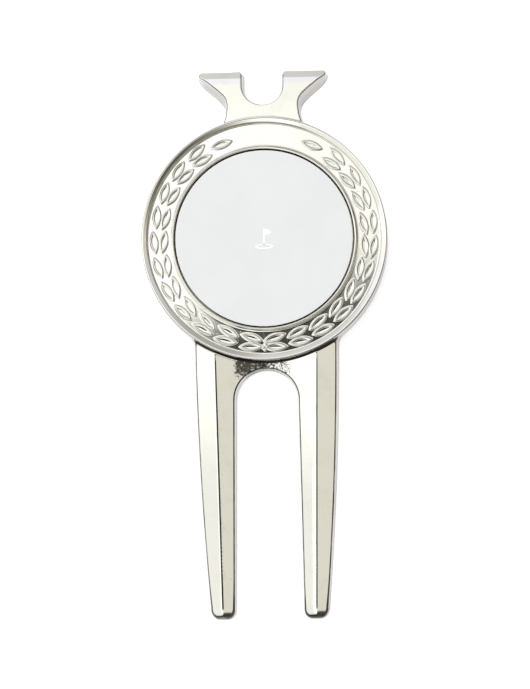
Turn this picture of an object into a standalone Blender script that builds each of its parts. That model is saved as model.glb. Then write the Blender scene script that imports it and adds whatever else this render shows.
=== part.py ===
# Divot repair tool for golf: a flat two-prong fork in one plated zinc casting,
# with a wreath-bordered round head that carries a magnetic ball marker, and a
# pair of flared horns above the head that rest a club grip off wet grass.
#
# Frame: the tool lies on its flat back, +Z out of the front, +Y toward the
# horns, +X to the right seen from the front. The origin is on the back face,
# on the axis of the round head. Units are metres.

import bpy
import bmesh
import math
from mathutils import Vector

for ob in list(bpy.data.objects):
    bpy.data.objects.remove(ob, do_unlink=True)

MM = 0.001

# ---------------------------------------------------------------- dimensions
# round head (radii and heights in mm)
HEAD_R_BASE = 17.80       # foot of the drafted outer wall
HEAD_R_RIM = 17.60        # outer shoulder of the rim
RIM_CREST_R = 17.30       # crest of the raised rim bead
RIM_CREST_Z = 4.35
RIM_INNER_R = 16.62       # where the rim meets the recessed band
BAND_Z = 3.70             # floor of the leaf band
RING_OUTER_R = 13.36      # inner ring bead, between band and marker
RING_CREST_R = 13.10
RING_CREST_Z = 4.07
POCKET_R = 12.92          # marker pocket
POCKET_Z = 2.10
MAGNET_POCKET_R = 4.20    # blind pocket for the magnet
MAGNET_POCKET_Z = 0.85
HEAD_STEPS = 64

# wreath
LEAF_LENGTH = 3.35
LEAF_WIDTH = 1.18
LEAF_HEIGHT = 0.17
LEAF_OUTER_ROW_R = 15.78
LEAF_INNER_ROW_R = 14.38
LEAF_PAIRS = 11
LEFT_FIRST, LEFT_PITCH = -37.2, 13.5      # degrees clockwise from +Y
RIGHT_FIRST, RIGHT_PITCH = 42.8, 13.2
LEFT_TIP_LEAF = (-23.4, 14.95, -7.0)      # angle, radius, tilt
RIGHT_TIP_LEAF = (27.8, 15.05, -7.0)
OUTER_TILT, INNER_TILT = 6.0, -12.0

# fork: two prongs with a shallow two-facet front
PRONG_ROOT_Y = -17.3
PRONG_TIP_Y = -54.3
PRONG_OUTER_X = 10.42     # at the root
PRONG_TAPER = (0.0176, 0.00102)
SLOT_HALF = 4.35
SLOT_FLARE = 0.0145
SLOT_ARCH_Y = -18.80      # top of the arch between the prongs
SLOT_STRAIGHT_Y = -23.15
TIP_OUTER_R = 1.50
TIP_INNER_R = 1.30
RIDGE_X_ROOT, RIDGE_X_TIP = 7.30, 6.68
RIDGE_Z_ROOT, RIDGE_Z_TIP = 3.05, 1.95
FACET_DROP_OUT = 0.145     # fall of the outer facet per mm of width
FACET_DROP_IN = 0.145
WALL_DRAFT_OUT = 0.36     # how far the front edge sits inside the back edge
WALL_DRAFT_IN = 0.42
NECK_FILLET = 1.80
DRAFT_Z = 4.0             # height over which the drafts above are measured

# horns
HORN_Z = 3.00
HORN_END_Y = 24.85
HORN_CREASE_Y = 22.60     # the front face rolls back beyond this line
HORN_TIP_X = 9.48
HORN_WAIST_X = 5.45
HORN_CORNER_R = 0.72
NOTCH_HALF = 2.72
NOTCH_BOTTOM_Y = 19.88

# ball marker and magnet
MARKER_R = 12.74
MARKER_BOTTOM_Z = 2.13
MARKER_TOP_Z = 3.53
MARKER_FILM_R = 12.45
MARKER_FILM_Z = (3.56, 3.62)
MARKER_FACE_R = 12.70
MARKER_FACE_Z = (3.65, 3.87)
MAGNET_R = 4.00
MAGNET_Z = (0.97, 1.97)
GLUE_R = 3.80
GLUE_Z = (0.87, 0.95)

# ---------------------------------------------------------------- collections
parts = bpy.data.collections.new("divot_tool")
cutters = bpy.data.collections.new("divot_tool_cutters")
bpy.context.scene.collection.children.link(parts)
bpy.context.scene.collection.children.link(cutters)


def material(name, colour, rough, metal):
    mat = bpy.data.materials.new(name)
    mat.use_nodes = True
    bsdf = mat.node_tree.nodes["Principled BSDF"]
    bsdf.inputs["Base Color"].default_value = (*colour, 1.0)
    bsdf.inputs["Roughness"].default_value = rough
    bsdf.inputs["Metallic"].default_value = metal
    mat.diffuse_color = (*colour, 1.0)
    return mat


def add_object(name, mesh, collection=parts, mat=None):
    ob = bpy.data.objects.new(name, mesh)
    collection.objects.link(ob)
    if mat is not None:
        mesh.materials.clear()
        mesh.materials.append(mat)
    return ob


def turned(name, profile, steps, collection=parts, mat=None, location=(0, 0, 0)):
    """Closed solid from a profile of (radius, z) in mm that starts on the
    axis, runs out and down, and ends on the axis."""
    mesh = bpy.data.meshes.new(name)
    bm = bmesh.new()
    verts = [bm.verts.new((r * MM, 0.0, z * MM)) for r, z in profile]
    for a, b in zip(verts, verts[1:]):
        bm.edges.new((a, b))
    bm.to_mesh(mesh)
    bm.free()
    ob = add_object(name, mesh, collection, mat)
    ob.location = [c * MM for c in location]
    screw = ob.modifiers.new("turn", "SCREW")
    screw.axis = "Z"
    screw.steps = steps
    screw.render_steps = steps
    screw.use_merge_vertices = True
    screw.merge_threshold = 0.000005
    screw.use_normal_calculate = True
    return ob


def bake(ob):
    """Replace an object's modifiers by their evaluated mesh."""
    depsgraph = bpy.context.evaluated_depsgraph_get()
    mesh = bpy.data.meshes.new_from_object(ob.evaluated_get(depsgraph))
    ob.modifiers.clear()
    old = ob.data
    ob.data = mesh
    bpy.data.meshes.remove(old)
    return ob


def face_outward(bm):
    bmesh.ops.recalc_face_normals(bm, faces=bm.faces)
    if bm.calc_volume(signed=True) < 0.0:
        bmesh.ops.reverse_faces(bm, faces=bm.faces)


def drafted_prism(name, base, top, z0, z1, collection=cutters):
    """An outline face at z0, extruded once to the matching outline at z1."""
    bm = bmesh.new()
    low = [bm.verts.new((x * MM, y * MM, z0 * MM)) for x, y in base]
    face = bm.faces.new(low)
    grown = bmesh.ops.extrude_face_region(bm, geom=[face], use_keep_orig=True)
    high = [g for g in grown["geom"] if isinstance(g, bmesh.types.BMVert)]
    match = {(round(v.co.x, 9), round(v.co.y, 9)): v for v in high}
    for (bx, by), (tx, ty) in zip(base, top):
        key = min(match, key=lambda k: (k[0] - bx * MM) ** 2 + (k[1] - by * MM) ** 2)
        match.pop(key).co = Vector((tx * MM, ty * MM, z1 * MM))
    face_outward(bm)
    mesh = bpy.data.meshes.new(name)
    bm.to_mesh(mesh)
    bm.free()
    ob = add_object(name, mesh, collection)
    ob.hide_render = True
    ob.display_type = "WIRE"
    return ob


def swept(name, sections, collection=cutters):
    """A closed section outline carried through a list of matching sections."""
    bm = bmesh.new()
    rings = [[bm.verts.new([c * MM for c in p]) for p in s] for s in sections]
    bm.faces.new(rings[0])
    bm.faces.new(rings[-1])
    for a, b in zip(rings, rings[1:]):
        for i in range(len(a)):
            j = (i + 1) % len(a)
            bm.faces.new((a[i], a[j], b[j], b[i]))
    face_outward(bm)
    mesh = bpy.data.meshes.new(name)
    bm.to_mesh(mesh)
    bm.free()
    ob = add_object(name, mesh, collection)
    ob.hide_render = True
    ob.display_type = "WIRE"
    return ob


def combine(ob, other, operation):
    mod = ob.modifiers.new(operation.lower(), "BOOLEAN")
    mod.operation = operation
    mod.solver = "EXACT"
    mod.object = other
    bake(ob)
    return ob


def arc(cx, cy, r, a0, a1, n):
    """Points along an arc, angles in degrees counter-clockwise from +X."""
    return [
        (
            cx + r * math.cos(math.radians(a0 + (a1 - a0) * i / n)),
            cy + r * math.sin(math.radians(a0 + (a1 - a0) * i / n)),
        )
        for i in range(n + 1)
    ]


def bezier(p0, p1, p2, p3, n):
    out = []
    for i in range(n + 1):
        t = i / n
        s = 1.0 - t
        out.append(
            tuple(
                s ** 3 * a + 3 * s * s * t * b + 3 * s * t * t * c + t ** 3 * d
                for a, b, c, d in zip(p0, p1, p2, p3)
            )
        )
    return out


def mirrored(half):
    """Close a right-hand outline (from the top of the symmetry line round to
    the bottom) with its mirror image; points on the line are kept once."""
    left = [(-x, y) for x, y in reversed(half) if abs(x) > 1e-6]
    return half + left


# ---------------------------------------------------------------- materials
nickel = material("plated_casting", (0.82, 0.80, 0.76), 0.12, 1.0)
steel = material("marker_steel", (0.74, 0.74, 0.73), 0.25, 1.0)
print_grey = material("marker_print", (0.86, 0.87, 0.875), 0.45, 0.0)
glue_clear = material("marker_bond", (0.80, 0.78, 0.70), 0.40, 0.0)
magnet_nickel = material("magnet_plating", (0.62, 0.62, 0.63), 0.22, 1.0)
glue_amber = material("magnet_bond", (0.55, 0.42, 0.22), 0.35, 0.0)

# ---------------------------------------------------------------- tool body
# round head, turned: marker pocket, magnet pocket, inner ring, band, rim


def bead(r_in, z_in, r_crest, z_crest, r_out, z_out):
    """Three crest points between two feet, for a rounded raised ring."""
    side = 0.55
    return [
        (r_in, z_in),
        (r_crest - (r_crest - r_in) * side, z_crest - 0.10),
        (r_crest, z_crest),
        (r_crest + (r_out - r_crest) * side, z_crest - 0.10),
        (r_out, z_out),
    ]


head_profile = [
    (0.0, MAGNET_POCKET_Z),
    (MAGNET_POCKET_R, MAGNET_POCKET_Z),
    (MAGNET_POCKET_R, POCKET_Z),
    (POCKET_R, POCKET_Z),
]
head_profile += bead(
    POCKET_R, RING_CREST_Z - 0.30, RING_CREST_R, RING_CREST_Z, RING_OUTER_R, BAND_Z
)
head_profile += bead(
    RIM_INNER_R, BAND_Z, RIM_CREST_R, RIM_CREST_Z, HEAD_R_RIM, RIM_CREST_Z - 0.45
)
head_profile += [
    (HEAD_R_BASE - 0.06, 0.30),
    (HEAD_R_BASE - 0.32, 0.0),
    (0.0, 0.0),
]
body = turned("tool_body", head_profile, HEAD_STEPS, parts, nickel)
bake(body)


# fork


def prong_outer(y):
    t = max(0.0, PRONG_ROOT_Y - y)
    return PRONG_OUTER_X - PRONG_TAPER[0] * t - PRONG_TAPER[1] * t * t


def slot_half(y):
    return SLOT_HALF + SLOT_FLARE * max(0.0, SLOT_STRAIGHT_Y - y)


def fork_outline(inset_out, inset_in):
    """Right half of the fork outline, from the hidden root inside the head,
    down the outer edge, round the tip and up the slot to the arch."""
    pts = [(0.0, -14.4), (8.6, -14.1), (10.0, -13.2)]
    # concave fillet between the head's wall and the outer edge
    reach = HEAD_R_BASE + NECK_FILLET
    fx = PRONG_OUTER_X + NECK_FILLET
    fy = -math.sqrt(reach * reach - fx * fx)
    a_head = math.degrees(math.atan2(-fy, -fx))
    for x, y in arc(fx, fy, NECK_FILLET + inset_out, a_head + 8.0, 180.0, 5):
        pts.append((x, y))
    # tapering outer edge
    y0 = fy
    y1 = PRONG_TIP_Y + TIP_OUTER_R
    for i in range(1, 9):
        y = y0 + (y1 - y0) * i / 8
        pts.append((prong_outer(y) - inset_out, y))
    # rounded outer corner of the tip, flat end, rounded inner corner
    xo = prong_outer(y1) - inset_out
    xi = slot_half(y1) + inset_in
    tip = PRONG_TIP_Y + 0.5 * (inset_out + inset_in)
    for k in range(1, 6):
        a = math.radians(90.0 * k / 5)
        ry = y1 - tip
        pts.append((xo - TIP_OUTER_R * (1 - math.cos(a)), y1 - ry * math.sin(a)))
    y2 = PRONG_TIP_Y + TIP_INNER_R
    for k in range(0, 5):
        a = math.radians(90.0 * (1 - k / 5))
        ry = y2 - tip
        pts.append((xi + TIP_INNER_R * (1 - math.cos(a)), y2 - ry * math.sin(a)))
    # slot wall and arch
    for i in range(0, 5):
        y = y2 + (SLOT_STRAIGHT_Y - y2) * i / 5
        pts.append((slot_half(y) + inset_in, y))
    rx = SLOT_HALF + inset_in
    ry = SLOT_ARCH_Y - SLOT_STRAIGHT_Y + inset_in
    for k in range(0, 10):
        a = math.radians(90.0 * k / 9)
        pts.append((rx * math.cos(a), SLOT_STRAIGHT_Y + ry * math.sin(a)))
    pts[-1] = (0.0, SLOT_STRAIGHT_Y + ry)
    return mirrored(pts)


fork = drafted_prism(
    "fork_plan",
    fork_outline(0.0, 0.0),
    fork_outline(WALL_DRAFT_OUT, WALL_DRAFT_IN),
    0.0,
    DRAFT_Z,
)


def roof_section(y, ridge_x, ridge_z):
    """M-shaped front: two ridges, falling outward and toward the slot."""
    out_x, back = 14.0, -0.2
    valley_x = 0.8
    out_z = ridge_z - FACET_DROP_OUT * (out_x - ridge_x)
    valley_z = ridge_z - FACET_DROP_IN * (ridge_x - valley_x)
    return [
        (-out_x, y, back),
        (out_x, y, back),
        (out_x, y, out_z),
        (ridge_x, y, ridge_z),
        (valley_x, y, valley_z),
        (-valley_x, y, valley_z),
        (-ridge_x, y, ridge_z),
        (-out_x, y, out_z),
    ]


def ridge_at(y):
    t = (PRONG_ROOT_Y - y) / (PRONG_ROOT_Y - PRONG_TIP_Y)
    return (
        RIDGE_X_ROOT + (RIDGE_X_TIP - RIDGE_X_ROOT) * t,
        RIDGE_Z_ROOT + (RIDGE_Z_TIP - RIDGE_Z_ROOT) * max(0.0, t),
    )


roof = swept(
    "fork_roof",
    [
        roof_section(y, *ridge_at(y))
        for y in (-13.0, -17.3, -36.0, -53.2)
    ]
    + [
        roof_section(-54.1, RIDGE_X_TIP, RIDGE_Z_TIP - 0.45),
        roof_section(-54.9, RIDGE_X_TIP, RIDGE_Z_TIP - 1.25),
    ],
)
combine(fork, roof, "INTERSECT")
combine(body, fork, "UNION")


# horns


def horn_outline(front):
    """Right half of the horn outline from the notch round to the root."""
    if front:
        waist, tip_x, half, bottom = HORN_WAIST_X - 0.25, HORN_TIP_X - 0.30, NOTCH_HALF + 0.22, NOTCH_BOTTOM_Y - 0.30
        c1, c2, tip_y = (waist + 0.05, 21.15), (8.70, 22.45), 24.06
    else:
        waist, tip_x, half, bottom = HORN_WAIST_X, HORN_TIP_X, NOTCH_HALF, NOTCH_BOTTOM_Y
        c1, c2, tip_y = (waist + 0.05, 20.95), (9.22, 22.30), 24.05
    end = HORN_END_Y
    r = HORN_CORNER_R
    pts = []
    # notch: half of a round-bottomed U
    ry = 2.60
    cy = bottom + ry
    for k in range(0, 8):
        a = math.radians(90.0 * k / 7)
        pts.append((half * math.sin(a), cy - ry * math.cos(a)))
    pts += arc(half + r * 0.7, end - r, r * 0.7, 180.0, 90.0, 3)
    pts += arc(tip_x - r, end - r, r, 90.0, 0.0, 3)
    flank = bezier((tip_x, tip_y), c2, c1, (waist, 18.95), 9)
    pts += flank
    pts += [(waist + 0.08, 18.2), (waist + 0.30, 17.45), (waist + 0.66, 16.65), (waist + 0.70, 15.8), (0.0, 15.0)]
    return mirrored(pts)


horns = drafted_prism("horn_plan", horn_outline(False), horn_outline(True), 0.0, HORN_Z + 0.6)

# side view of the front face: flat, then two bands that fall away
side_points = [
    (13.0, -0.2),
    (HORN_END_Y + 0.65, -0.2),
    (HORN_END_Y + 0.65, HORN_Z - 0.64),
    (HORN_CREASE_Y + 0.90, HORN_Z - 0.07),
    (HORN_CREASE_Y, HORN_Z),
    (13.0, HORN_Z),
]
profile_block = swept(
    "horn_profile",
    [[(x, y, z) for y, z in side_points] for x in (-12.0, 12.0)],
)
combine(horns, profile_block, "INTERSECT")
combine(body, horns, "UNION")


# wreath leaves, raised outlines with a sunken middle


def lens(scale_l, scale_w):
    """Outline of one leaf along +X, pointed at both ends."""
    half_l = 0.5 * LEAF_LENGTH * scale_l
    half_w = 0.5 * LEAF_WIDTH * scale_w
    ts = (-1.0, -0.5, 0.5, 1.0)
    upper = [(t * half_l, half_w * (1.0 - t * t) ** 0.8) for t in ts]
    lower = [(t * half_l, -half_w * (1.0 - t * t) ** 0.8) for t in ts[1:-1]]
    return upper + lower[::-1]


leaf_bm = bmesh.new()


def add_leaf(angle_deg, radius, tilt_deg, growth):
    """angle clockwise from +Y; growth +1 when the leaf points clockwise."""
    a = math.radians(angle_deg)
    centre = Vector((radius * math.sin(a), radius * math.cos(a)))
    tangent = Vector((math.cos(a), -math.sin(a))) * growth
    outward = Vector((math.sin(a), math.cos(a)))
    t = math.radians(tilt_deg)
    along = tangent * math.cos(t) + outward * math.sin(t)
    across = Vector((-along.y, along.x))
    layers = (
        (lens(1.00, 1.00), BAND_Z - 0.25),
        (lens(0.90, 0.72), BAND_Z + LEAF_HEIGHT),
        (lens(0.70, 0.34), BAND_Z + 0.06),
    )
    rings = []
    for outline, z in layers:
        ring = []
        for u, v in outline:
            p = centre + along * u + across * v
            ring.append(leaf_bm.verts.new((p.x * MM, p.y * MM, z * MM)))
        rings.append(ring)
    leaf_bm.faces.new(rings[0])
    leaf_bm.faces.new(rings[-1])
    for low, high in zip(rings, rings[1:]):
        for i in range(len(low)):
            j = (i + 1) % len(low)
            leaf_bm.faces.new((low[i], low[j], high[j], high[i]))


for k in range(LEAF_PAIRS):
    left = LEFT_FIRST - LEFT_PITCH * k
    right = RIGHT_FIRST + RIGHT_PITCH * k
    add_leaf(left, LEAF_OUTER_ROW_R, OUTER_TILT, 1)
    add_leaf(left, LEAF_INNER_ROW_R, INNER_TILT, 1)
    add_leaf(right, LEAF_OUTER_ROW_R, OUTER_TILT, -1)
    add_leaf(right, LEAF_INNER_ROW_R, INNER_TILT, -1)
add_leaf(LEFT_TIP_LEAF[0], LEFT_TIP_LEAF[1], LEFT_TIP_LEAF[2], 1)
add_leaf(RIGHT_TIP_LEAF[0], RIGHT_TIP_LEAF[1], RIGHT_TIP_LEAF[2], -1)
bmesh.ops.recalc_face_normals(leaf_bm, faces=leaf_bm.faces)
leaf_mesh = bpy.data.meshes.new("wreath")
leaf_bm.to_mesh(leaf_mesh)
leaf_bm.free()
wreath = add_object("wreath_leaves", leaf_mesh, cutters)
wreath.hide_render = True
wreath.display_type = "WIRE"
combine(body, wreath, "UNION")

body.data.materials.clear()
body.data.materials.append(nickel)
for poly in body.data.polygons:
    poly.material_index = 0
body.data.shade_smooth()
body.data.set_sharp_from_angle(angle=math.radians(28.0))

# ---------------------------------------------------------------- small discs


def disc(name, radius, z_range, edge, steps, mat):
    z0, z1 = z_range
    ob = turned(
        name,
        [
            (0.0, z1),
            (radius - edge, z1),
            (radius, z1 - edge),
            (radius, z0 + edge),
            (radius - edge, z0),
            (0.0, z0),
        ],
        steps,
        parts,
        mat,
    )
    bake(ob)
    ob.data.shade_smooth()
    ob.data.set_sharp_from_angle(angle=math.radians(28.0))
    return ob


disc("magnet_adhesive", GLUE_R, GLUE_Z, 0.02, 24, glue_amber)
disc("magnet", MAGNET_R, MAGNET_Z, 0.12, 32, magnet_nickel)
disc("marker_blank", MARKER_R, (MARKER_BOTTOM_Z, MARKER_TOP_Z), 0.15, 64, steel)
disc("marker_adhesive", MARKER_FILM_R, MARKER_FILM_Z, 0.015, 48, glue_clear)
disc("marker_face", MARKER_FACE_R, MARKER_FACE_Z, 0.05, 64, print_grey)
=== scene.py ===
import math

import bpy
import bmesh
import numpy as np
from mathutils import Matrix, Vector
from mathutils.geometry import delaunay_2d_cdt


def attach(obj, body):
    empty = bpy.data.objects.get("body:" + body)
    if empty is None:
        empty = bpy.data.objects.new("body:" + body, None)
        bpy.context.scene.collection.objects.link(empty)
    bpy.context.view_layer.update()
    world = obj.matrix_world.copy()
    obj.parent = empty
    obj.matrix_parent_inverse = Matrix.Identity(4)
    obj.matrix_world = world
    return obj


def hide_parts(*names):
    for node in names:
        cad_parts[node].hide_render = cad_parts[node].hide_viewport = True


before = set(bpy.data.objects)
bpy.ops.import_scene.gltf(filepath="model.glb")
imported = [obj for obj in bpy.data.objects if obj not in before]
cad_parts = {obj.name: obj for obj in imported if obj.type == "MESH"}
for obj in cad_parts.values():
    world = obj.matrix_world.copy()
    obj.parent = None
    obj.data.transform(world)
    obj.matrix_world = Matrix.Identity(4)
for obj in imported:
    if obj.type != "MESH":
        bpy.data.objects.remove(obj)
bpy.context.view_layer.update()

MM = 0.001

# ------------------------------------------------------------------ helpers


def link(ob):
    bpy.context.scene.collection.objects.link(ob)
    return ob


def mesh_object(name, verts_mm, faces, smooth=True, sharp=None):
    me = bpy.data.meshes.new(name)
    co = (np.asarray(verts_mm, float) * MM).tolist()
    me.from_pydata(co, [], faces)
    me.validate()
    me.update()
    if smooth:
        me.shade_smooth()
        if sharp is not None:
            me.set_sharp_from_angle(angle=math.radians(sharp))
    return link(bpy.data.objects.new(name, me))


def outward(ob):
    bm = bmesh.new()
    bm.from_mesh(ob.data)
    bmesh.ops.recalc_face_normals(bm, faces=bm.faces)
    if bm.calc_volume(signed=True) < 0:
        bmesh.ops.reverse_faces(bm, faces=bm.faces)
    bm.to_mesh(ob.data)
    bm.free()
    return ob


def apply_union(ob, other):
    m = ob.modifiers.new("union", "BOOLEAN")
    m.operation = "UNION"
    m.solver = "MANIFOLD"
    m.object = other
    dg = bpy.context.evaluated_depsgraph_get()
    me = bpy.data.meshes.new_from_object(ob.evaluated_get(dg))
    ob.modifiers.clear()
    old = ob.data
    ob.data = me
    bpy.data.meshes.remove(old)
    bpy.data.objects.remove(other, do_unlink=True)
    return ob


def smooth01(t):
    t = np.clip(t, 0.0, 1.0)
    return t * t * (3 - 2 * t)


def arc(cx, cy, r, a0, a1, n):
    return [
        (cx + r * math.cos(math.radians(a0 + (a1 - a0) * i / n)),
         cy + r * math.sin(math.radians(a0 + (a1 - a0) * i / n)))
        for i in range(n + 1)
    ]


def bezier(p0, p1, p2, p3, n):
    out = []
    for i in range(n + 1):
        t = i / n
        s = 1 - t
        out.append(tuple(
            s ** 3 * a + 3 * s * s * t * b + 3 * s * t * t * c + t ** 3 * d
            for a, b, c, d in zip(p0, p1, p2, p3)))
    return out


def mirrored(half):
    return half + [(-x, y) for x, y in reversed(half) if abs(x) > 1e-6]


def resample(poly, step):
    """Even points along a closed outline, starting at its first point."""
    p = np.array(poly + poly[:1], float)
    d = np.r_[0, np.cumsum(np.hypot(*np.diff(p, axis=0).T))]
    n = int(round(d[-1] / step / 2)) * 2
    s = np.linspace(0, d[-1], n, endpoint=False)
    return np.c_[np.interp(s, d, p[:, 0]), np.interp(s, d, p[:, 1])]


def inward_normals(p):
    """Unit normals pointing into a clockwise or counter-clockwise outline."""
    t = np.roll(p, -1, 0) - np.roll(p, 1, 0)
    t /= np.linalg.norm(t, axis=1)[:, None]
    n = np.c_[-t[:, 1], t[:, 0]]
    area = 0.5 * np.sum(p[:, 0] * np.roll(p[:, 1], -1) - np.roll(p[:, 0], -1) * p[:, 1])
    n = n if area > 0 else -n
    for _ in range(2):
        n = n + 0.5 * (np.roll(n, 1, 0) + np.roll(n, -1, 0))
        n /= np.linalg.norm(n, axis=1)[:, None]
    return n


# ------------------------------------------------------------------ tool body
# The casting: head, fork and horns, each a closed surface, then joined.

R_BASE = 17.75
R_WALL = 17.64            # the head wall at the height of fork and horns
LEAF_L, LEAF_W = 3.42, 1.26
LEAF_H = 0.12
FLOOR_Z = 3.70

leaves = []


def leaf(angle, radius, tilt, growth, scale=1.0):
    a = math.radians(angle)
    c = np.array([radius * math.sin(a), radius * math.cos(a)])
    tangent = np.array([math.cos(a), -math.sin(a)]) * growth
    out = np.array([math.sin(a), math.cos(a)])
    t = math.radians(tilt)
    along = tangent * math.cos(t) + out * math.sin(t)
    leaves.append((c, along, scale))


rng = np.random.default_rng(7)
for k in range(11):
    for first, pitch, grow in ((-37.2, -13.5, 1), (42.8, 13.2, -1)):
        a = first + pitch * k
        j = rng.uniform(-1, 1, 6)
        leaf(a + 0.25 * j[0], 15.76 + 0.04 * j[1], 6.5 + 2.0 * j[2], grow, 1 + 0.02 * j[5])
        leaf(a + 0.25 * j[3], 14.42 + 0.04 * j[4], -11.0 + 2.5 * j[2], grow, 1 + 0.02 * j[0])
leaf(-23.4, 14.93, -5.0, 1)
leaf(27.8, 15.05, -7.0, -1)


def band_height(r, th):
    """Height of the leaf band at radius r and angle th clockwise from +Y."""
    z = np.full_like(th, FLOOR_Z)
    z += 0.05 * math.exp(-((r - 13.40) / 0.05)) + 0.09 * math.exp(-((16.74 - r) / 0.035))
    x, y = r * np.sin(th), r * np.cos(th)
    relief = np.zeros_like(th)
    half_l, half_w = LEAF_L / 2, LEAF_W / 2
    big = (half_l ** 2 + half_w ** 2) / (2 * half_w)
    off = big - half_w
    for c, along, sc in leaves:
        dx, dy = x - c[0], y - c[1]
        near = (dx * dx + dy * dy) < 4.2
        if not near.any():
            continue
        u = (dx * along[0] + dy * along[1]) / sc
        v = (-dx * along[1] + dy * along[0]) / sc
        s = big - np.hypot(u, np.abs(v) + off)      # depth inside the outline
        # a rounded cord round the edge, and a hollow within it
        up = smooth01((s + 0.02) / 0.17)
        down = smooth01((s - 0.18) / 0.20)
        h = LEAF_H * (up - 0.78 * down)
        # shallow vein down the middle, deeper on the right of the wreath
        vein = 0.028 if c[0] > 11.0 else 0.006
        h -= vein * down * np.exp(-(v / 0.06) ** 2) * smooth01((half_l * 0.50 - np.abs(u)) / 0.4)
        h = np.where(near & (s > -0.04), h, 0.0)
        relief = np.maximum(relief, h)
    # the tie at the foot of the wreath: two small knots and a cross band
    for kx, ky, kr, kh in ((-0.28, -15.72, 0.26, 0.22), (0.22, -15.66, 0.24, 0.22),
                           (-0.02, -16.05, 0.20, 0.18), (0.02, -15.30, 0.20, 0.16)):
        d = np.hypot(x - kx, y - ky)
        relief = np.maximum(relief, kh * np.sqrt(np.clip(1 - (d / kr) ** 2, 0, 1)))
    return z + relief


def build_head():
    verts, faces = [], []

    def ring(r, z, n):
        th = np.linspace(0, 2 * math.pi, n, endpoint=False)
        zz = z(r, th) if callable(z) else np.full(n, float(z))
        start = len(verts)
        verts.extend(zip(r * np.sin(th), r * np.cos(th), zz))
        return start, n

    def bridge(a, b):
        (sa, na), (sb, nb) = a, b
        if na == nb:
            for i in range(na):
                j = (i + 1) % na
                faces.append((sa + i, sb + i, sb + j, sa + j))
        elif nb > na:
            k = nb // na
            for i in range(na):
                j = (i + 1) % na
                outer = [sb + (i * k + m) % nb for m in range(k + 1)]
                faces.append([sa + i] + outer + [sa + j])
        else:
            k = na // nb
            for i in range(nb):
                j = (i + 1) % nb
                inner = [sa + (i * k + m) % na for m in range(k + 1)]
                faces.append([sb + i] + [sb + j] + inner[::-1])

    n0, n1 = 270, 1080
    prof = [
        (3.90, 0.85), (4.08, 0.87), (4.17, 0.95), (4.20, 1.08), (4.20, 1.92), (4.23, 2.03),
        (4.32, 2.10), (4.60, 2.10), (8.50, 2.10), (12.40, 2.10), (12.74, 2.11), (12.86, 2.16),
        (12.91, 2.26), (12.92, 2.40), (12.935, 3.70), (12.94, 3.86), (12.955, 3.95),
        (12.975, 4.00), (13.010, 4.022), (13.055, 4.040), (13.100, 4.056), (13.14, 4.064),
        (13.185, 4.050), (13.225, 4.015), (13.26, 3.96), (13.295, 3.89), (13.33, 3.82),
        (13.365, 3.765),
    ]
    band = np.linspace(13.40, 16.74, 54)
    rim = [
        (16.765, 3.90), (16.775, 4.02), (16.79, 4.09), (16.815, 4.130), (16.86, 4.158),
        (16.93, 4.186), (17.00, 4.213), (17.06, 4.236), (17.11, 4.256), (17.16, 4.276),
        (17.20, 4.293), (17.24, 4.309), (17.30, 4.328), (17.38, 4.344), (17.45, 4.342), (17.505, 4.332),
        (17.548, 4.306), (17.575, 4.268), (17.590, 4.22), (17.597, 4.12), (17.64, 2.70),
        (17.69, 1.20), (17.725, 0.50), (17.74, 0.28), (17.72, 0.16), (17.66, 0.06),
        (17.56, 0.01), (17.44, 0.0), (17.0, 0.0), (9.0, 0.0),
    ]
    centre = len(verts)
    verts.append((0, 0, 0.85))
    prev = ring(*prof[0], n0)
    for i in range(n0):
        faces.append((centre, prev[0] + i, prev[0] + (i + 1) % n0))
    for r, z in prof[1:]:
        cur = ring(r, z, n0)
        bridge(prev, cur)
        prev = cur
    for r in band:
        cur = ring(r, band_height, n1)
        bridge(prev, cur)
        prev = cur
    for r, z in rim:
        cur = ring(r, z, n0)
        bridge(prev, cur)
        prev = cur
    back = len(verts)
    verts.append((0, 0, 0))
    for i in range(n0):
        faces.append((prev[0] + i, back, prev[0] + (i + 1) % n0))
    return outward(mesh_object("casting", verts, faces))


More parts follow.
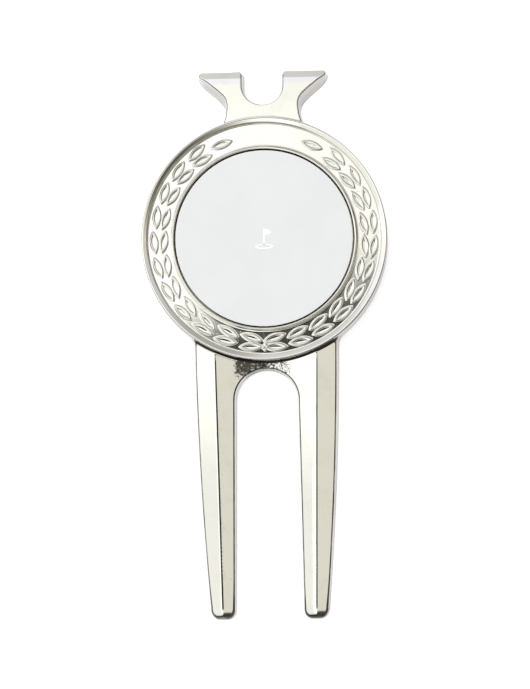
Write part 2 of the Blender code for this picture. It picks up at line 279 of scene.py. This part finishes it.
def plate(name, outline, top_z, edge_r, draft_deg, fine, lines=(), seeds=(), keep=None):
    """A drafted plate with a rounded upper edge: rings up the wall, and a
    surface over the inside that follows top_z(x, y)."""
    p = outline
    n = inward_normals(p)
    count = len(p)
    tan = np.array([math.tan(math.radians(draft_deg(x, y))) for x, y in p])
    er = np.array([edge_r(x, y) for x, y in p])
    verts, faces = [], []
    rings = []

    def add(offset, z):
        start = len(verts)
        q = p + n * offset[:, None]
        verts.extend(np.c_[q, z])
        rings.append(start)
        return q

    zt = lambda q: np.array([top_z(x, y) for x, y in q])
    # rounded foot
    foot = 0.16
    for a in (0, 30, 60, 90):
        s, c = math.sin(math.radians(a)), math.cos(math.radians(a))
        add(np.full(count, foot * (1 - s)), np.full(count, foot * (1 - c)))
    # wall
    for f in (0.35, 0.7):
        z = f * (zt(p) - er)
        add(tan * z, z)
    # rounded shoulder, tangent to the drafted wall and to the top
    start_a = math.degrees(math.atan(tan.mean()))
    for a in np.linspace(0, 90, 7):
        s, c = math.sin(math.radians(a)), math.cos(math.radians(a))
        off = tan * (zt(p) - er) + er * (1 - c) + 1e-9
        q = p + n * off[:, None]
        z = zt(q) - er * (1 - s)
        add(off, z)
    # support ring on the top face
    off = tan * (zt(p) - er) + er + 0.04
    q = add(off, zt(p + n * off[:, None]))
    for a, b in zip(rings, rings[1:]):
        for i in range(count):
            j = (i + 1) % count
            faces.append((a + i, a + j, b + j, b + i))
    # back
    faces.append(list(range(rings[0], rings[0] + count))[::-1])
    # inside of the top, filled over constraint lines and seed points
    pts = [Vector(v) for v in q]
    edges = [(i, (i + 1) % count) for i in range(count)]
    base_n = len(pts)
    for chain in lines:
        first = len(pts)
        chain = [c for c in chain if keep is None or keep(c, q)]
        pts += [Vector(c) for c in chain]
        edges += [(first + i, first + i + 1) for i in range(len(chain) - 1)]
    for s in seeds:
        if keep is None or keep(s, q):
            pts.append(Vector(s))
    out_v, _, out_f, orig_v, _, _ = delaunay_2d_cdt(pts, edges, [], 1, 1e-6)
    index = {}
    for i, src in enumerate(orig_v):
        ring_src = [s for s in src if s < base_n]
        if ring_src:
            index[i] = rings[-1] + ring_src[0]
        else:
            index[i] = len(verts)
            verts.append((out_v[i].x, out_v[i].y, top_z(out_v[i].x, out_v[i].y)))
    poly = q
    for f in out_f:
        cx = sum(out_v[i].x for i in f) / len(f)
        cy = sum(out_v[i].y for i in f) / len(f)
        if inside(cx, cy, poly):
            faces.append([index[i] for i in f])
    return outward(mesh_object(name, verts, faces))


def inside(x, y, poly):
    px, py = poly[:, 0], poly[:, 1]
    qx, qy = np.roll(px, -1), np.roll(py, -1)
    cross = (py > y) != (qy > y)
    with np.errstate(divide="ignore", invalid="ignore"):
        xi = px + (y - py) * (qx - px) / (qy - py)
    return bool(np.count_nonzero(cross & (x < xi)) % 2)


def well_inside(margin):
    def test(pt, poly):
        x, y = pt
        if not inside(x, y, poly):
            return False
        d = np.hypot(poly[:, 0] - x, poly[:, 1] - y).min()
        return d > margin
    return test


# fork
ROOT_Y, TIP_Y = -17.3, -54.3
SLOT_Y = -23.15
RIDGE_Z0, RIDGE_Z1 = 3.05, 1.95
FACET = 0.150


def prong_outer(y):
    t = max(0.0, ROOT_Y - y)
    return 10.42 - 0.0176 * t - 0.00102 * t * t


def slot_half(y):
    return 4.35 + 0.0145 * max(0.0, SLOT_Y - y)


def ridge_x(y):
    return 7.30 - 0.62 * (ROOT_Y - y) / (ROOT_Y - TIP_Y)


def ridge_z(y):
    t = max(0.0, (ROOT_Y - y) / (ROOT_Y - TIP_Y))
    z = RIDGE_Z0 + (RIDGE_Z1 - RIDGE_Z0) * t
    end = y - TIP_Y
    if end < 1.6:                      # the tips fall away
        z -= 0.95 * (1 - math.sqrt(max(0.0, 1 - ((1.6 - end) / 1.6) ** 2)))
    return z


def soft_abs(v, w):
    return math.sqrt(v * v + w * w) - w


def foot_fillet(x, y, r):
    """Extra height of the small fillet where a plate meets the head wall."""
    d = min(max(math.hypot(x, y) - R_WALL, 0.012), r)
    return r - math.sqrt(max(0.0, r * r - (r - d) ** 2))


def fork_top(x, y):
    # facets fall from each ridge; the inner pair meet in a soft valley
    ax = math.sqrt(x * x + 0.30)
    d = ax - ridge_x(y)
    if (d < 0) == (x > 0):             # the flank on the left of each ridge
        d = abs(d)
        z = ridge_z(y) - 0.118 * soft_abs(d, 0.09) - (FACET - 0.118) * max(0.0, d - 0.42)
    else:
        z = ridge_z(y) - FACET * soft_abs(abs(d), 0.05)
    return z + foot_fillet(x, y, 0.42)


def fork_outline():
    pts = [(0.0, -13.9), (6.0, -13.7)]
    fil = 1.8
    reach = R_BASE + fil
    fx = 10.44 + fil
    fy = -math.sqrt(reach * reach - fx * fx)
    phi = math.degrees(math.atan2(fy, fx))
    # inside the head the outline turns back on an arc tangent to its wall
    k = (R_BASE - 1.0) / reach
    pts += arc(fx * k, fy * k, 1.0, phi + 150.0, phi, 12)
    pts += arc(fx, fy, fil, phi + 180.0, 180.0, 8)[1:]
    y1 = TIP_Y + 1.75
    for i in range(1, 17):
        y = fy + (y1 - fy) * i / 16
        pts.append((prong_outer(y), y))
    xo = prong_outer(y1)
    for k in range(1, 11):
        a = math.radians(9.0 * k)
        pts.append((xo - 1.35 * (1 - math.cos(a)), y1 - 1.75 * math.sin(a)))
    y2 = TIP_Y + 1.35
    xi = slot_half(y2)
    for k in range(0, 10):
        a = math.radians(90.0 * (1 - k / 10))
        pts.append((xi + 1.25 * (1 - math.cos(a)), y2 - 1.35 * math.sin(a)))
    for i in range(0, 12):
        y = y2 + (SLOT_Y - y2) * i / 12
        pts.append((slot_half(y), y))
    for k in range(0, 18):
        a = math.radians(90.0 * k / 18)
        pts.append((4.35 * math.cos(a), SLOT_Y + 4.35 * math.sin(a)))
    pts.append((0.0, SLOT_Y + 4.35))
    return resample(mirrored(pts), 0.22)


def build_fork():
    out = fork_outline()
    lines, seeds = [], []
    for side in (-1, 1):
        for off in (-0.22, -0.09, 0.0, 0.09, 0.22):
            ys = np.linspace(-14.9, TIP_Y + 0.45, 130)
            lines.append([(side * (ridge_x(y) + off), y) for y in ys])
        for y in np.arange(-15.2, TIP_Y + 0.7, -0.55):
            for x in (5.0, 5.6, 6.2, 6.7, 7.9, 8.5, 9.1):
                seeds.append((side * x, y))
        for y in np.linspace(TIP_Y + 0.5, TIP_Y + 1.8, 7):
            for x in np.arange(5.3, 8.6, 0.28):
                if abs(x - ridge_x(y)) > 0.34:
                    seeds.append((side * x, y))
    for y in np.arange(-18.3, -25.2, -0.32):
        for x in np.arange(-5.9, 5.95, 0.32):
            seeds.append((x + 0.013 * y, y))
    for d in (-0.5, 0.0, 0.02, 0.05, 0.09, 0.14, 0.20, 0.27, 0.35, 0.42, 0.50):
        r = R_WALL + d
        lines.append([(r * math.sin(a), -r * math.cos(a)) for a in np.radians(np.linspace(-36, 36, 121))])
    return plate(
        "fork", out, fork_top,
        edge_r=lambda x, y: 0.26 + 0.14 * float(smooth01((TIP_Y + 6.0 - y) / 6.0)),
        draft_deg=lambda x, y: 8.0 if abs(x) > ridge_x(y) and y > TIP_Y + 1.5 else 6.0,
        fine=0.16, lines=lines, seeds=seeds, keep=well_inside(0.10))


# horns
END_Y, CREASE_Y, HORN_Z = 24.85, 22.60, 3.00


def horn_outline():
    waist, tip_x, half, bottom = 5.45, 9.48, 2.72, 19.88
    r = 0.72
    pts = []
    ry = 2.60
    cy = bottom + ry
    for k in range(0, 16):
        a = math.radians(6.0 * k)
        pts.append((half * math.sin(a), cy - ry * math.cos(a)))
    pts += arc(half + 0.64, END_Y - 0.64, 0.64, 180.0, 90.0, 8)
    pts += arc(tip_x - r, END_Y - r, r, 90.0, 0.0, 8)
    pts += bezier((tip_x, 24.05), (9.22, 22.30), (waist + 0.05, 20.95), (waist, 18.95), 26)
    pts += [(waist + 0.08, 18.2), (waist + 0.30, 17.45), (waist + 0.66, 16.65)]
    pts += arc(waist - 0.25, 15.95, 0.95, 0.0, -90.0, 8)
    pts += [(0.0, 15.0)]
    return resample(mirrored(pts), 0.15)


def horn_top(x, y):
    if y <= CREASE_Y:
        return HORN_Z + foot_fillet(x, y, 0.30)
    # beyond the crease the upper face rolls over in two bands
    d = y - CREASE_Y
    z = HORN_Z - 0.075 * d
    if d > 0.90:
        z -= 0.255 * (d - 0.90) + 0.02 * (d - 0.90) ** 2
    return z


def horn_draft(x, y):
    """The flanks under the wings lean in more than the waist and notch."""
    ax = abs(x)
    if ax < 3.6:
        return 5.0
    k = float(smooth01((y - 18.8) / 1.6)) * float(smooth01((ax - 3.9) / 1.2))
    k *= 1.0 - 0.9 * float(smooth01((y - 22.4) / 1.6))
    return 5.0 + 9.5 * k


def build_horns():
    out = horn_outline()
    lines, seeds = [], []
    for side in (-1, 1):
        for y in (CREASE_Y - 0.04, CREASE_Y + 0.04, 23.0, 23.46, 23.54, 23.9, 24.25):
            lines.append([(side * x, y) for x in np.arange(3.1, 9.3, 0.22)])
        for y in np.arange(18.3, 22.4, 0.45):
            for x in np.arange(0.25, 8.9, 0.5):
                seeds.append((side * x, y))
    for d in (-0.5, 0.0, 0.02, 0.05, 0.09, 0.14, 0.20, 0.30, 0.40):
        r = R_WALL + d
        lines.append([(r * math.sin(a), r * math.cos(a)) for a in np.radians(np.linspace(-19, 19, 61))])
    return plate(
        "horns", out, horn_top,
        edge_r=lambda x, y: 0.22,
        draft_deg=horn_draft, fine=0.12, lines=lines, seeds=seeds, keep=well_inside(0.08))


body = build_head()
apply_union(body, build_fork())
apply_union(body, build_horns())
body.name = "tool_casting"
body.data.name = "tool_casting"
body.data.shade_smooth()
body.data.set_sharp_from_angle(angle=math.radians(52))


def lathe(name, profile, n=180, sharp=35):
    verts, faces = [], []
    prev = None
    for i, (r, z) in enumerate(profile):
        if r <= 1e-9:
            cur = (len(verts), 1)
            verts.append((0, 0, z))
        else:
            cur = (len(verts), n)
            for k in range(n):
                a = 2 * math.pi * k / n
                verts.append((r * math.cos(a), r * math.sin(a), z))
        if prev is not None:
            (sa, na), (sb, nb) = prev, cur
            for k in range(n):
                j = (k + 1) % n
                if na == 1:
                    faces.append((sa, sb + k, sb + j))
                elif nb == 1:
                    faces.append((sa + k, sb, sa + j))
                else:
                    faces.append((sa + k, sb + k, sb + j, sa + j))
        prev = cur
    return outward(mesh_object(name, verts, faces, sharp=sharp))


def rounded_disc(name, r, z0, z1, e, n=180, crown=0.0):
    prof = [(0.0, z1)]
    for f in (0.25, 0.5, 0.75, 0.9, 0.97):
        rr = (r - e) * f
        prof.append((rr, z1 - crown * f * f))
    zt = z1 - crown
    prof += [(r - e + e * math.sin(math.radians(a)), zt - e + e * math.cos(math.radians(a))) for a in (0, 22.5, 45, 67.5, 90)]
    prof += [(r - e + e * math.cos(math.radians(a)), z0 + e - e * math.sin(math.radians(a))) for a in (0, 30, 60, 90)]
    prof += [((r - e) * 0.6, z0), (0.0, z0)]
    return lathe(name, prof, n)


blank = rounded_disc("marker_disc", 12.74, 2.13, 3.53, 0.16, 240)
film = rounded_disc("marker_film", 12.45, 3.56, 3.62, 0.02, 180)
face = rounded_disc("marker_print_disc", 12.72, 3.65, 3.87, 0.05, 240)
mag = rounded_disc("pocket_magnet", 4.00, 0.97, 1.97, 0.16, 128)
glue = rounded_disc("pocket_glue", 3.80, 0.87, 0.95, 0.03, 96)



def ink_mark(name, z0, z1):
    """A plain golf flag on its green, as a thin raised layer of white ink."""
    shapes = []
    pole = [(-0.09, -1.05), (0.09, -1.05), (0.09, 1.32), (0.0, 1.42), (-0.09, 1.32)]
    wave = [(0.14, 1.28), (0.52, 1.20), (0.86, 1.02), (1.14, 0.78), (0.80, 0.60), (0.46, 0.44), (0.14, 0.36)]
    green = [(1.30 * math.cos(a), -1.22 + 0.36 * math.sin(a)) for a in np.linspace(0, 2 * math.pi, 48, endpoint=False)]
    green = [p for p in green]
    shapes += [pole, wave]
    verts, faces = [], []
    for poly in shapes:
        n = len(poly)
        area = sum(poly[i][0] * poly[(i + 1) % n][1] - poly[(i + 1) % n][0] * poly[i][1] for i in range(n))
        poly = poly if area > 0 else poly[::-1]
        c = np.mean(poly, axis=0)
        start = len(verts)
        verts += [(x, y, z0) for x, y in poly] + [(x, y, z1 - 0.004) for x, y in poly]
        verts += [(c[0] + (x - c[0]) * 0.96, c[1] + (y - c[1]) * 0.985, z1) for x, y in poly]
        for i in range(n):
            j = (i + 1) % n
            faces.append((start + i, start + j, start + n + j, start + n + i))
            faces.append((start + n + i, start + n + j, start + 2 * n + j, start + 2 * n + i))
        faces.append([start + 2 * n + i for i in range(n)])
        faces.append([start + i for i in range(n)][::-1])
    # the green is a ring round the foot of the pole
    n = len(green)
    start = len(verts)
    for k, z in ((1.0, z0), (1.0, z1), (0.80, z1), (0.80, z0)):
        verts += [(x * k, -1.22 + (y + 1.22) * (k if k == 1.0 else 0.60), z) for x, y in green]
    for a in range(4):
        b = (a + 1) % 4
        for i in range(n):
            j = (i + 1) % n
            faces.append((start + a * n + i, start + a * n + j, start + b * n + j, start + b * n + i))
    return outward(mesh_object(name, verts, faces, smooth=False))


mark = ink_mark("marker_flag_print", 3.865, 3.888)

for piece, node, group in (
    (body, "tool_body", "tool"),
    (glue, "magnet_adhesive", "tool"),
    (mag, "magnet", "tool"),
    (blank, "marker_blank", "marker"),
    (film, "marker_adhesive", "marker"),
    (face, "marker_face", "marker"),
):
    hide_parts(node)
    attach(piece, group)
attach(mark, "marker")

# ------------------------------------------------------------------ materials


class Nodes:
    def __init__(self, name):
        self.mat = bpy.data.materials.new(name)
        self.mat.use_nodes = True
        self.t = self.mat.node_tree
        self.bsdf = self.t.nodes["Principled BSDF"]

    def add(self, kind, **props):
        n = self.t.nodes.new(kind)
        for k, v in props.items():
            setattr(n, k, v)
        return n

    def link(self, a, b):
        self.t.links.new(a, b)

    def value(self, socket, v):
        socket.default_value = v

    def noise(self, coord, scale, detail=4.0, rough=0.55, distortion=0.0):
        n = self.add("ShaderNodeTexNoise")
        n.inputs["Scale"].default_value = scale
        n.inputs["Detail"].default_value = detail
        n.inputs["Roughness"].default_value = rough
        n.inputs["Distortion"].default_value = distortion
        self.link(coord, n.inputs["Vector"])
        return n.outputs["Fac"]

    def remap(self, src, a, b, c, d, kind="SMOOTHSTEP"):
        n = self.add("ShaderNodeMapRange", interpolation_type=kind)
        for i, v in zip((1, 2, 3, 4), (a, b, c, d)):
            n.inputs[i].default_value = v
        self.link(src, n.inputs[0])
        return n.outputs[0]

    def math(self, op, a, b=None, c=None):
        n = self.add("ShaderNodeMath", operation=op)
        for i, v in enumerate((a, b, c)):
            if v is None:
                continue
            if isinstance(v, (int, float)):
                n.inputs[i].default_value = v
            else:
                self.link(v, n.inputs[i])
        return n.outputs[0]

    def mix(self, fac, a, b):
        n = self.add("ShaderNodeMix", data_type="RGBA")
        if isinstance(fac, (int, float)):
            n.inputs[0].default_value = fac
        else:
            self.link(fac, n.inputs[0])
        for sock, v in ((n.inputs[6], a), (n.inputs[7], b)):
            if isinstance(v, tuple):
                sock.default_value = (*v, 1.0)
            else:
                self.link(v, sock)
        return n.outputs[2]

    def bump(self, height, strength, distance, normal=None):
        n = self.add("ShaderNodeBump")
        n.inputs["Strength"].default_value = strength
        n.inputs["Distance"].default_value = distance
        self.link(height, n.inputs["Height"])
        if normal is not None:
            self.link(normal, n.inputs["Normal"])
        return n.outputs["Normal"]


def plated(name, bright, dull, rough_lo, rough_hi, wave, casting=False):
    m = Nodes(name)
    co = m.add("ShaderNodeTexCoord").outputs["Object"]
    b = m.bsdf
    b.inputs["Metallic"].default_value = 1.0
    # tarnish haze gathers in the recesses, edges stay bright
    haze = m.noise(co, 260.0, 5.0, 0.6)
    patch = m.noise(co, 70.0, 3.0, 0.5)
    geo = m.add("ShaderNodeNewGeometry")
    edge = m.remap(geo.outputs["Pointiness"], 0.47, 0.53, 0.0, 1.0)
    grime = m.math("MULTIPLY", m.remap(haze, 0.45, 0.75, 0.0, 1.0), m.math("SUBTRACT", 1.0, edge))
    colour = m.mix(m.math("MULTIPLY", grime, 0.55), bright, dull)
    if casting:
        # the steep sides are rougher, as cast, than the burnished top; their darker, greyer colour is painted shade
        # standing in for the shadowed floor they reflect
        nz = m.add("ShaderNodeSeparateXYZ")
        m.link(geo.outputs["Normal"], nz.inputs[0])
        side = m.remap(nz.outputs[2], 0.22, 0.42, 1.0, 0.0)
        # painted shade colour for the steep sides
        colour = m.mix(m.math("MULTIPLY", side, m.remap(patch, 0.2, 0.8, 0.75, 1.0)), colour, (0.40, 0.385, 0.375))
        xyz = m.add("ShaderNodeSeparateXYZ")
        m.link(co, xyz.inputs[0])
        px, py, pz = xyz.outputs
        # a thin dark line is darkened into the colour of the sloping outer edges outside a radius of about 17.4 mm,
        # weaker where they face +Y, not on the horns' far end
        rad = m.math("SQRT", m.math("ADD", m.math("MULTIPLY", px, px), m.math("MULTIPLY", py, py)))
        rim = m.math("MULTIPLY", m.remap(nz.outputs[2], 0.22, 0.36, 0.0, 1.0), m.remap(nz.outputs[2], 0.84, 0.95, 1.0, 0.0))
        rim = m.math("MULTIPLY", rim, m.remap(rad, 0.01735, 0.01748, 0.0, 1.0))
        rim = m.math("MULTIPLY", rim, m.remap(py, 0.0239, 0.0243, 1.0, 0.0))
        rim = m.math("MULTIPLY", rim, m.remap(nz.outputs[1], 0.25, 0.55, 1.0, 0.30))
        rim = m.math("MULTIPLY", rim, m.remap(haze, 0.25, 0.60, 0.70, 0.97))
        colour = m.mix(rim, colour, (0.040, 0.034, 0.030))
        # painted shade: a dark line in the crease round the foot of the head, on the fork side
        off = m.math("ABSOLUTE", m.math("SUBTRACT", rad, 0.01774))
        foot_crease_shade = m.remap(off, 0.00008, 0.00024, 1.0, 0.0)
        foot_crease_shade = m.math("MULTIPLY", foot_crease_shade, m.remap(pz, 0.0018, 0.0021, 0.0, 1.0))
        foot_crease_shade = m.math("MULTIPLY", foot_crease_shade, m.remap(pz, 0.0036, 0.0039, 1.0, 0.0))
        reach = m.remap(m.math("ABSOLUTE", px), 0.0102, 0.0106, 1.0, 0.0)
        south = m.math("MULTIPLY", reach, m.remap(py, -0.0135, -0.0140, 0.0, 1.0))
        # painted shade colour for the crease at the head's foot
        colour = m.mix(m.math("MULTIPLY", foot_crease_shade, south), colour, (0.030, 0.026, 0.022))
        # a rough, pitted skin on the web between the head and the arch, as a bump; the dark flecks in its colour are
        # painted speckled reflections
        wx = m.remap(m.math("ABSOLUTE", m.math("ADD", px, 0.0006)), 0.0030, 0.0046, 1.0, 0.0)
        wy = m.math("MULTIPLY", m.remap(py, -0.0207, -0.0186, 0.0, 1.0), m.remap(py, -0.0172, -0.0174, 0.0, 1.0))
        low = m.remap(pz, 0.0030, 0.0034, 1.0, 0.0)
        web = m.math("MULTIPLY", m.math("MULTIPLY", wx, wy), low)
        speck = m.noise(co, 3400.0, 3.0, 0.65)
        dense = m.remap(px, -0.0030, 0.0022, 0.27, 0.15)
        speckle_reflection_paint = m.remap(m.math("ADD", speck, m.math("MULTIPLY", web, dense)), 0.58, 0.72, 0.0, 1.0)
        speckle_reflection_paint = m.math("MULTIPLY", speckle_reflection_paint, m.remap(web, 0.05, 0.35, 0.0, 1.0))
        # painted speckled reflection colour on the web
        colour = m.mix(m.math("MULTIPLY", speckle_reflection_paint, 0.93), colour, (0.05, 0.045, 0.04))
    m.link(colour, b.inputs["Base Color"])
    # polish: mirror-like, with cloudy patches and fine hairlines
    fine = m.add("ShaderNodeMapping")
    fine.inputs["Scale"].default_value = (1.0, 0.12, 1.0)
    fine.inputs["Rotation"].default_value = (0.0, 0.0, 0.35)
    m.link(co, fine.inputs["Vector"])
    hair = m.noise(fine.outputs["Vector"], 5200.0, 2.0, 0.5)
    lines = m.remap(hair, 0.60, 0.72, 0.0, 1.0)
    rough = m.math("ADD", m.remap(patch, 0.3, 0.7, rough_lo, rough_hi, "LINEAR"),
                   m.math("MULTIPLY", lines, 0.035))
    if casting:
        rough = m.math("ADD", rough, m.math("MULTIPLY", side, 0.22))
    m.link(rough, b.inputs["Roughness"])
    # the cast skin ripples faintly under the plating, with a few pinholes
    ripple = m.noise(co, 150.0, 2.0, 0.5)
    n1 = m.bump(ripple, 1.0, wave)
    skin = m.noise(co, 900.0, 3.0, 0.6)
    pits = m.remap(m.noise(co, 2300.0, 1.0, 0.4), 0.70, 0.80, 0.0, 1.0)
    pits_inv = m.math("SUBTRACT", m.math("MULTIPLY", skin, 0.25), pits)
    n2 = m.bump(pits_inv, 0.35, 0.0000035, n1)
    n3 = m.bump(lines, 0.25, 0.0000015, n2)
    if casting:
        n3 = m.bump(m.math("MULTIPLY", speck, web), 0.6, 0.00003, n3)
    m.link(n3, b.inputs["Normal"])
    return m.mat


nickel = plated("polished_nickel", (0.94, 0.932, 0.845), (0.72, 0.69, 0.60), 0.028, 0.060, 0.000007, True)
blank_metal = plated("marker_nickel", (0.60, 0.59, 0.57), (0.42, 0.41, 0.39), 0.12, 0.22, 0.000006)
magnet_metal = plated("magnet_nickel", (0.70, 0.70, 0.70), (0.48, 0.48, 0.48), 0.16, 0.30, 0.000006)


def printed(name):
    m = Nodes(name)
    co = m.add("ShaderNodeTexCoord").outputs["Object"]
    b = m.bsdf
    cloud = m.noise(co, 180.0, 4.0, 0.55)
    grain = m.noise(co, 6000.0, 2.0, 0.5)
    col = m.mix(m.remap(cloud, 0.35, 0.65, 0.0, 1.0), (0.700, 0.714, 0.708), (0.716, 0.729, 0.723))
    col = m.mix(m.math("MULTIPLY", m.remap(grain, 0.55, 0.70, 0.0, 1.0), 0.25), col, (0.67, 0.685, 0.68))
    m.link(col, b.inputs["Base Color"])
    m.link(m.remap(cloud, 0.3, 0.7, 0.42, 0.52, "LINEAR"), b.inputs["Roughness"])
    b.inputs["Specular IOR Level"].default_value = 0.25
    m.link(m.bump(grain, 0.3, 0.000002), b.inputs["Normal"])
    return m.mat


def ink(name):
    m = Nodes(name)
    co = m.add("ShaderNodeTexCoord").outputs["Object"]
    b = m.bsdf
    grain = m.noise(co, 7000.0, 2.0, 0.5)
    col = m.mix(m.remap(grain, 0.4, 0.7, 0.0, 1.0), (0.93, 0.935, 0.935), (0.89, 0.895, 0.90))
    m.link(col, b.inputs["Base Color"])
    m.link(m.remap(grain, 0.3, 0.7, 0.38, 0.5, "LINEAR"), b.inputs["Roughness"])
    m.link(m.bump(grain, 0.3, 0.000002), b.inputs["Normal"])
    return m.mat


def resin(name, a, c, rough):
    m = Nodes(name)
    co = m.add("ShaderNodeTexCoord").outputs["Object"]
    b = m.bsdf
    n = m.noise(co, 900.0, 4.0, 0.6)
    m.link(m.mix(n, a, c), b.inputs["Base Color"])
    m.link(m.remap(n, 0.3, 0.7, rough, rough + 0.15, "LINEAR"), b.inputs["Roughness"])
    m.link(m.bump(n, 0.5, 0.00001), b.inputs["Normal"])
    return m.mat


def dress(ob, mat):
    ob.data.materials.clear()
    ob.data.materials.append(mat)


dress(body, nickel)
dress(blank, blank_metal)
dress(mag, magnet_metal)
dress(face, printed("marker_pale_grey"))
dress(mark, ink("white_ink"))
dress(film, resin("bond_film", (0.78, 0.76, 0.68), (0.70, 0.68, 0.60), 0.3))
dress(glue, resin("amber_epoxy", (0.55, 0.40, 0.20), (0.42, 0.30, 0.15), 0.25))

# ------------------------------------------------------------------ stage

bm = bmesh.new()
bmesh.ops.create_grid(bm, x_segments=1, y_segments=1, size=1.5)
me = bpy.data.meshes.new("floor")
bm.to_mesh(me)
bm.free()
floor = link(bpy.data.objects.new("floor", me))
floor.location = (0, 0, -0.00002)
fm = Nodes("floor_paper")
fm.bsdf.inputs["Roughness"].default_value = 0.9
fm.bsdf.inputs["Specular IOR Level"].default_value = 0.1
fm.bsdf.inputs["Emission Color"].default_value = (1, 1, 1, 1)
fm.bsdf.inputs["Emission Strength"].default_value = 0.68
fco = fm.add("ShaderNodeTexCoord").outputs["Object"]
fm.link(fm.mix(fm.noise(fco, 30.0, 3.0), (0.62, 0.62, 0.62), (0.65, 0.65, 0.65)), fm.bsdf.inputs["Base Color"])
dress(floor, fm.mat)

# soft studio surround: a bright tent, brighter on the left, with the dark
# mouth of the tent above the tool and a dimmer band low down
world = bpy.data.worlds.new("studio")
bpy.context.scene.world = world
world.use_nodes = True
wt = world.node_tree
for nd in list(wt.nodes):
    wt.nodes.remove(nd)


def wn(kind, **props):
    n = wt.nodes.new(kind)
    for k, v in props.items():
        setattr(n, k, v)
    return n


def wmath(op, a, b=None):
    n = wn("ShaderNodeMath", operation=op)
    for i, v in enumerate((a, b)):
        if v is None:
            continue
        if isinstance(v, (int, float)):
            n.inputs[i].default_value = v
        else:
            wt.links.new(v, n.inputs[i])
    return n.outputs[0]


def wmap(src, a, b, c, d):
    n = wn("ShaderNodeMapRange", interpolation_type="SMOOTHSTEP")
    for i, v in zip((1, 2, 3, 4), (a, b, c, d)):
        n.inputs[i].default_value = v
    wt.links.new(src, n.inputs[0])
    return n.outputs[0]


tc = wn("ShaderNodeTexCoord")
sep = wn("ShaderNodeSeparateXYZ")
wt.links.new(tc.outputs["Generated"], sep.inputs[0])
dx, dy, dz = sep.outputs


def lobe(ax, ay, radius, soft, inside_value):
    """1 outside a cone about the direction (ax, ay) degrees off +Z, and
    inside_value within it."""
    v = Vector((math.tan(math.radians(ax)), math.tan(math.radians(ay)), 1.0)).normalized()
    dot = wmath("ADD", wmath("ADD", wmath("MULTIPLY", dx, v.x), wmath("MULTIPLY", dy, v.y)), wmath("MULTIPLY", dz, v.z))
    ang = wmath("MULTIPLY", wmath("ARCCOSINE", wmath("MINIMUM", dot, 0.9999999)), 180 / math.pi)
    return wmap(ang, radius - soft, radius + soft, inside_value, 1.0)


def lean(ux, uy):
    """Angle in degrees off +Z, measured in the plane of (ux, uy)."""
    along = wmath("ADD", wmath("MULTIPLY", dx, ux), wmath("MULTIPLY", dy, uy))
    return wmath("MULTIPLY", wmath("ARCTAN2", along, wmath("MAXIMUM", dz, 0.02)), 180 / math.pi)


def product(*terms):
    out = terms[0]
    for t in terms[1:]:
        out = wmath("MULTIPLY", out, t)
    return out


side = lean(1.0, 0.0)
ahead = lean(0.0, 1.0)
level = wmap(side, -7.0, 13.0, 1.25, 0.76)
# the left of the tent is a little dimmer towards the prong tips
left_dim = wmath("MAXIMUM", wmap(side, -18.6, -16.6, 0.0, 1.0), wmap(ahead, -1.6, 2.0, 0.74, 1.0))
# grey panel beyond the horns
far = product(wmap(ahead, 11.3, 12.1, 1.0, 0.86), wmap(ahead, 16.0, 22.0, 1.0, 0.98), wmap(ahead, 30.0, 44.0, 1.0, 0.66))
spot = lobe(0.8, -2.9, 10.6, 1.0, 0.035)
# a narrow dark card low on the right front; the tent is pale again below it
tilt = lean(0.75, -0.66)
shade = wmath("MAXIMUM", wmap(tilt, 22.0, 34.0, 1.0, 0.08), wmap(tilt, 46.0, 58.0, 0.0, 0.62))
low = wmap(dz, 0.0, 0.20, 0.62, 1.0)
total = product(level, left_dim, far, spot, shade, low)
bg = wn("ShaderNodeBackground")
tint = wn("ShaderNodeMix", data_type="RGBA")
wt.links.new(wmap(side, -7.0, 15.0, 0.0, 1.0), tint.inputs[0])
tint.inputs[6].default_value = (1.0, 1.0, 1.0, 1.0)
tint.inputs[7].default_value = (1.0, 0.968, 0.905, 1.0)
cool = wn("ShaderNodeMix", data_type="RGBA")
wt.links.new(wmath("MULTIPLY", wmap(ahead, 16.0, 22.0, 0.0, 1.0), wmap(ahead, 30.0, 44.0, 1.0, 0.3)), cool.inputs[0])
wt.links.new(tint.outputs[2], cool.inputs[6])
cool.inputs[7].default_value = (0.95, 0.945, 1.08, 1.0)
wt.links.new(cool.outputs[2], bg.inputs["Color"])
wt.links.new(total, bg.inputs["Strength"])
wo = wn("ShaderNodeOutputWorld")
wt.links.new(bg.outputs[0], wo.inputs[0])

key = bpy.data.lights.new("key", "AREA")
key.shape = "DISK"
key.size = 0.7
key.energy = 6.0
key.color = (1.0, 0.995, 0.985)
key_ob = link(bpy.data.objects.new("key", key))
key_ob.location = (-0.25, 0.20, 0.9)
key_ob.rotation_euler = (Vector((0, -0.015, 0)) - key_ob.location).to_track_quat("-Z", "Y").to_euler()
key_ob.visible_glossy = False

# camera: over the front, a little to the right and towards the prongs
D = 0.320
CX, CY = 2.8, -5.8
target = Vector((-0.0001, -0.01525, 0.003))
direction = Vector((math.tan(math.radians(CX)), math.tan(math.radians(CY)), 1.0)).normalized()
cam_data = bpy.data.cameras.new("camera")
cam = link(bpy.data.objects.new("camera", cam_data))
cam.location = target + direction * D
forward = -direction
up = Vector((0, 1, 0))
right = forward.cross(up).normalized()
up = right.cross(forward)
roll = math.radians(0.8)
r2 = right * math.cos(roll) - up * math.sin(roll)
u2 = up * math.cos(roll) + right * math.sin(roll)
rot = Matrix((r2, u2, -forward)).transposed()
cam.rotation_euler = rot.to_euler()
cam_data.sensor_fit = "VERTICAL"
cam_data.sensor_height = 36.0
cam_data.lens = 36.0 * D / 0.0984
cam_data.clip_start = 0.01
bpy.context.scene.camera = cam
bpy.context.scene.view_settings.view_transform = "Standard"
bpy.context.scene.view_settings.look = "None"
